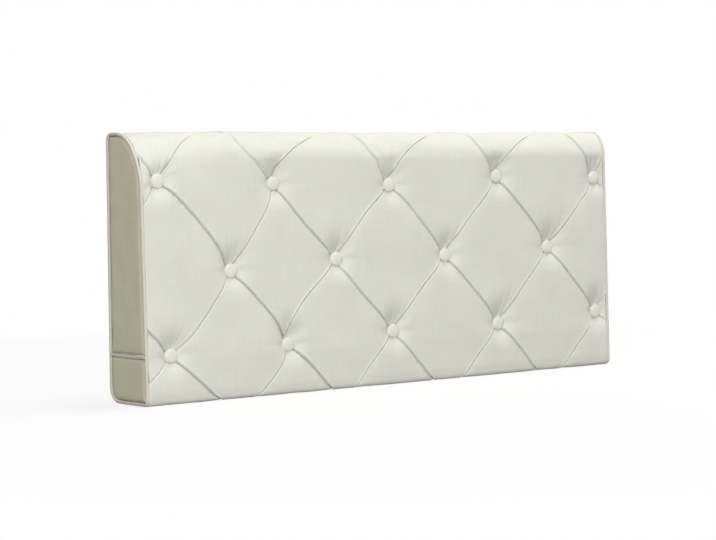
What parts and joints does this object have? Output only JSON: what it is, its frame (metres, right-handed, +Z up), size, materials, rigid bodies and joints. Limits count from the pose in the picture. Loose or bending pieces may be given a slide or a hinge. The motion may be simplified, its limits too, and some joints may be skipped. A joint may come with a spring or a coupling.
{
  "type": "tufted headboard",
  "caption": "Low upholstered headboard pad with diamond button tufting, a rolled top edge, piped ends and a wooden frame inside.",
  "frame": {"origin": "centre of the underside, on the surface that the headboard stands on", "axes": "+X along the length, to the right as seen from the tufted front; the tufted front faces -Y, the wall side +Y; +Z up"},
  "size_m": [1.2, 0.124, 0.5],
  "materials": {
    "linen_quilted": "matt plain weave, cream, quilted on wadding",
    "linen_sides": "matt plain weave, cream",
    "linen_piping": "matt plain weave over cord, cream",
    "linen_buttons": "matt plain weave stretched over a dome",
    "back_cloth": "thin non-woven dust cloth, matt",
    "foam": "open-cell seat foam, cut faces",
    "wadding": "polyester wadding",
    "twine": "waxed flax twine",
    "plywood": "sanded poplar plywood, unfinished",
    "softwood": "planed pine, unfinished",
    "zinc_steel": "bright zinc plating",
    "staple_steel": "galvanised wire"
  },
  "bodies": {
    "root": {"back_cloth": "back_cloth", "board_screws": "zinc_steel", "bottom_button_1": "linen_buttons", "bottom_button_2": "linen_buttons", "bottom_button_3": "linen_buttons", "bottom_button_4": "linen_buttons", "bottom_button_5": "linen_buttons", "bottom_rail": "softwood", "cloth_staples": "staple_steel", "corner_blocks": "softwood", "face_board": "plywood", "frame_screws": "zinc_steel", "front_cover": "linen_quilted", "front_foam": "foam", "left_cross_piping": "linen_piping", "left_end_wadding": "wadding", "left_lower_panel": "linen_sides", "left_piping": "linen_piping", "left_side_panel": "linen_sides", "left_stile": "softwood", "left_strut_stud": "softwood", "middle_button_1": "linen_buttons", "middle_button_2": "linen_buttons", "middle_button_3": "linen_buttons", "middle_button_4": "linen_buttons", "right_cross_piping": "linen_piping", "right_end_wadding": "wadding", "right_lower_panel": "linen_sides", "right_piping": "linen_piping", "right_side_panel": "linen_sides", "right_stile": "softwood", "right_strut_stud": "softwood", "strut_inserts": "zinc_steel", "stud_screws": "zinc_steel", "top_button_1": "linen_buttons", "top_button_2": "linen_buttons", "top_button_3": "linen_buttons", "top_button_4": "linen_buttons", "top_button_5": "linen_buttons", "top_foam": "foam", "top_rail": "softwood", "tufting_twines": "twine", "twine_washers": "staple_steel"}
  },
  "joints": []
}
